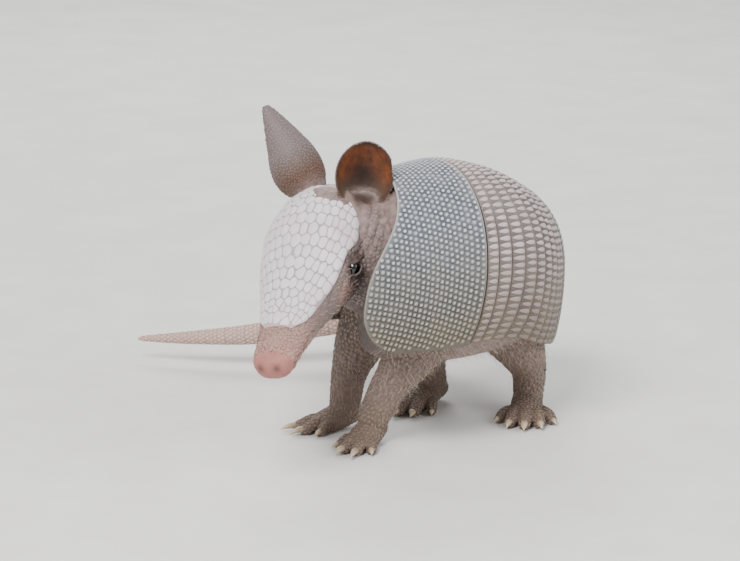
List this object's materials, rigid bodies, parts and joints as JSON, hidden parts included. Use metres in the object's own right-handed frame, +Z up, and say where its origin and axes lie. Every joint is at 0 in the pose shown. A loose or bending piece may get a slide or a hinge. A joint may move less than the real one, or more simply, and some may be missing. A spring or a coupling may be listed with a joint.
{
  "type": "armadillo",
  "caption": "Life-size model of a young nine-banded armadillo standing low on four clawed feet, body bent to its right, head turned to its left and lowered, with a plated shell and a long tail",
  "frame": {"origin": "On the floor at the bottom centre of the model's bounding box.", "axes": "+Z up. The animal faces -Y with its left side at +X; the tail leaves towards +Y and swings round to -X."},
  "size_m": [0.2092, 0.1988, 0.137],
  "materials": {
    "skin": "dry pinkish-grey skin with small scales and sparse pale hairs",
    "ear_skin": "thin leathery ear skin, finely scaled outside and warm brown inside",
    "head_scutes": "whitish-pink horny scutes with thin grey grooves",
    "shield_scutes": "blue-grey horny rosettes with pale centres",
    "band_scutes": "rows of long pale pinkish-grey scutes with dark wedges between them",
    "claw": "pale brown horn, slightly glossy",
    "eye": "wet black"
  },
  "bodies": {
    "root": {"trunk": "skin", "neck": "skin", "head": "skin", "head_shield": "head_scutes", "scapular_shield": "shield_scutes", "band_1": "band_scutes", "band_2": "band_scutes", "band_3": "band_scutes", "band_4": "band_scutes", "band_5": "band_scutes", "band_6": "band_scutes", "band_7": "band_scutes", "band_8": "band_scutes", "band_9": "band_scutes", "pelvic_shield": "shield_scutes", "ear_left": "ear_skin", "ear_right": "ear_skin", "eye_left": "eye", "eye_right": "eye", "leg_front_left": "skin", "claw_front_left_1": "claw", "claw_front_left_2": "claw", "claw_front_left_3": "claw", "claw_front_left_4": "claw", "leg_front_right": "skin", "claw_front_right_1": "claw", "claw_front_right_2": "claw", "claw_front_right_3": "claw", "claw_front_right_4": "claw", "leg_hind_left": "skin", "claw_hind_left_1": "claw", "claw_hind_left_2": "claw", "claw_hind_left_3": "claw", "claw_hind_left_4": "claw", "claw_hind_left_5": "claw", "leg_hind_right": "skin", "claw_hind_right_1": "claw", "claw_hind_right_2": "claw", "claw_hind_right_3": "claw", "claw_hind_right_4": "claw", "claw_hind_right_5": "claw", "tail_1": "skin", "tail_2": "skin", "tail_3": "skin", "tail_4": "skin", "tail_5": "skin"}
  },
  "joints": []
}
